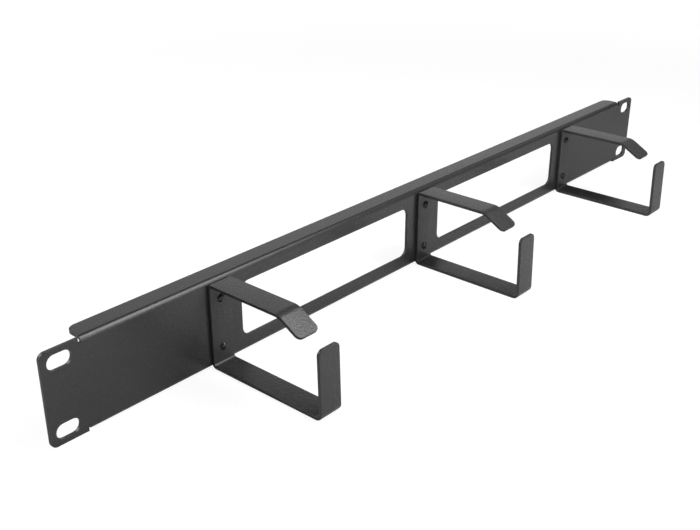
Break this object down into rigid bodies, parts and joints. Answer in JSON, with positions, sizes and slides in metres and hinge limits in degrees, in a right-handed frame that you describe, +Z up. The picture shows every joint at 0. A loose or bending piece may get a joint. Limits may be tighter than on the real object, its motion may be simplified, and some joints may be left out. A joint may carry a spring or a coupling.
{
  "type": "rack cable management panel",
  "caption": "Rack panel of folded black sheet steel with cut-outs for cables and open folded strip hooks riveted to its front, through which cables are led.",
  "frame": {"origin": "centre of the rack-slot pattern on the rear face of the sheet, which lies against the rack's rails", "axes": "+X to the right seen from the front, +Y to the rear, +Z up"},
  "size_m": [0.4826, 0.0793, 0.0436],
  "materials": {
    "panel_coat": "black powder coat, fine texture, semi-gloss",
    "hook_coat": "black powder coat, fine texture, semi-gloss",
    "rivet_coat": "black powder coat, smooth, semi-gloss"
  },
  "bodies": {
    "root": {"panel": "panel_coat", "left_hook": "hook_coat", "centre_hook": "hook_coat", "right_hook": "hook_coat", "rivets": "rivet_coat"}
  },
  "joints": []
}
